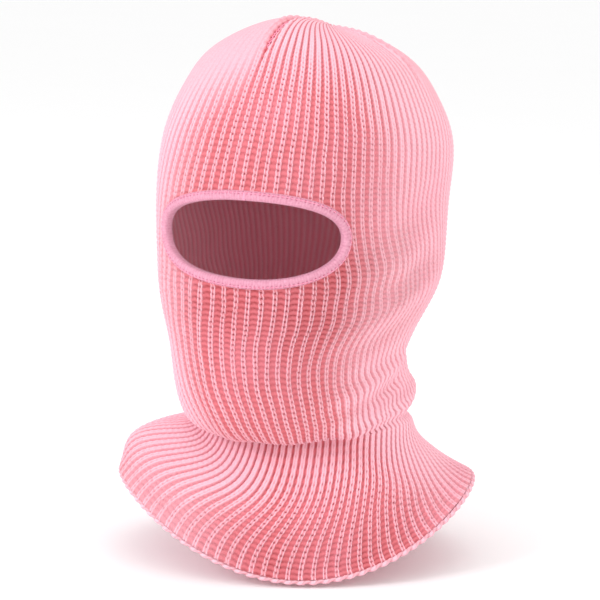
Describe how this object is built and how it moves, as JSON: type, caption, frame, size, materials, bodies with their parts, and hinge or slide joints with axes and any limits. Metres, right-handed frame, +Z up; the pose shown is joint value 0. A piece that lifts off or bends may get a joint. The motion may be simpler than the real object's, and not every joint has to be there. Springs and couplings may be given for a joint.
{
  "type": "balaclava",
  "caption": "One-hole rib-knit ski balaclava with a bound eye opening, gored crown and round shoulder bib, in its worn shape.",
  "frame": {"origin": "middle of the head inside the hood, level with the middle of the eye opening", "axes": "+Z up to the crown, -Y out through the eye opening, +X to the wearer's left"},
  "size_m": [0.2125, 0.2021, 0.3208],
  "materials": {
    "knit": "matt acrylic rib knit, candy pink",
    "binding": "fine jersey binding, cooler pink",
    "thread": "spun polyester thread",
    "label": "blank white satin tape"
  },
  "bodies": {
    "root": {"hood_knit": "knit", "eye_binding": "binding", "eye_binding_stitch": "thread", "eye_binding_tack": "thread", "crown_seam_front": "thread", "crown_seam_left": "thread", "crown_seam_back": "thread", "crown_seam_right": "thread", "crown_tie": "thread", "hem_edge": "knit", "care_label": "label", "label_stitch": "thread"}
  },
  "joints": []
}
